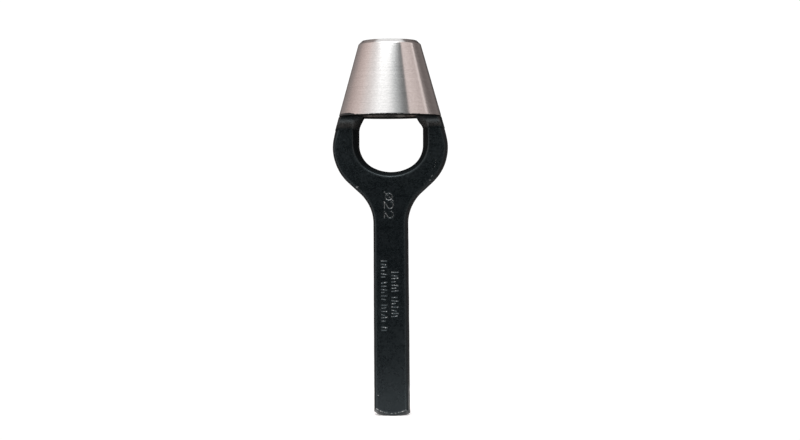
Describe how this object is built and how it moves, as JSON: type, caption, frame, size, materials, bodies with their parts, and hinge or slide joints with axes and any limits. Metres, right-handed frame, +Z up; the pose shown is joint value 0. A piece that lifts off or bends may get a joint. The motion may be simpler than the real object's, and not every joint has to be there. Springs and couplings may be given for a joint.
{
  "type": "arch punch",
  "caption": "Arch punch: a polished conical cutting tube welded on a black forged yoke with a rectangular shank that is struck with a mallet.",
  "frame": {"origin": "centre of the flat striking face at the bottom of the shank", "axes": "+Z up the tool's axis to the cutting edge, -Y the front flat face, +X to the right as seen from the front"},
  "size_m": [0.0474, 0.0418, 0.1531],
  "materials": {
    "polished_tool_steel": "ground and polished, with fine turning lines",
    "black_lacquer": "semi-gloss black lacquer over forged steel"
  },
  "bodies": {
    "root": {"cutting_tube": "polished_tool_steel", "yoke_and_shank": "black_lacquer", "weld_fillet_left": "black_lacquer", "weld_fillet_right": "black_lacquer"}
  },
  "joints": []
}
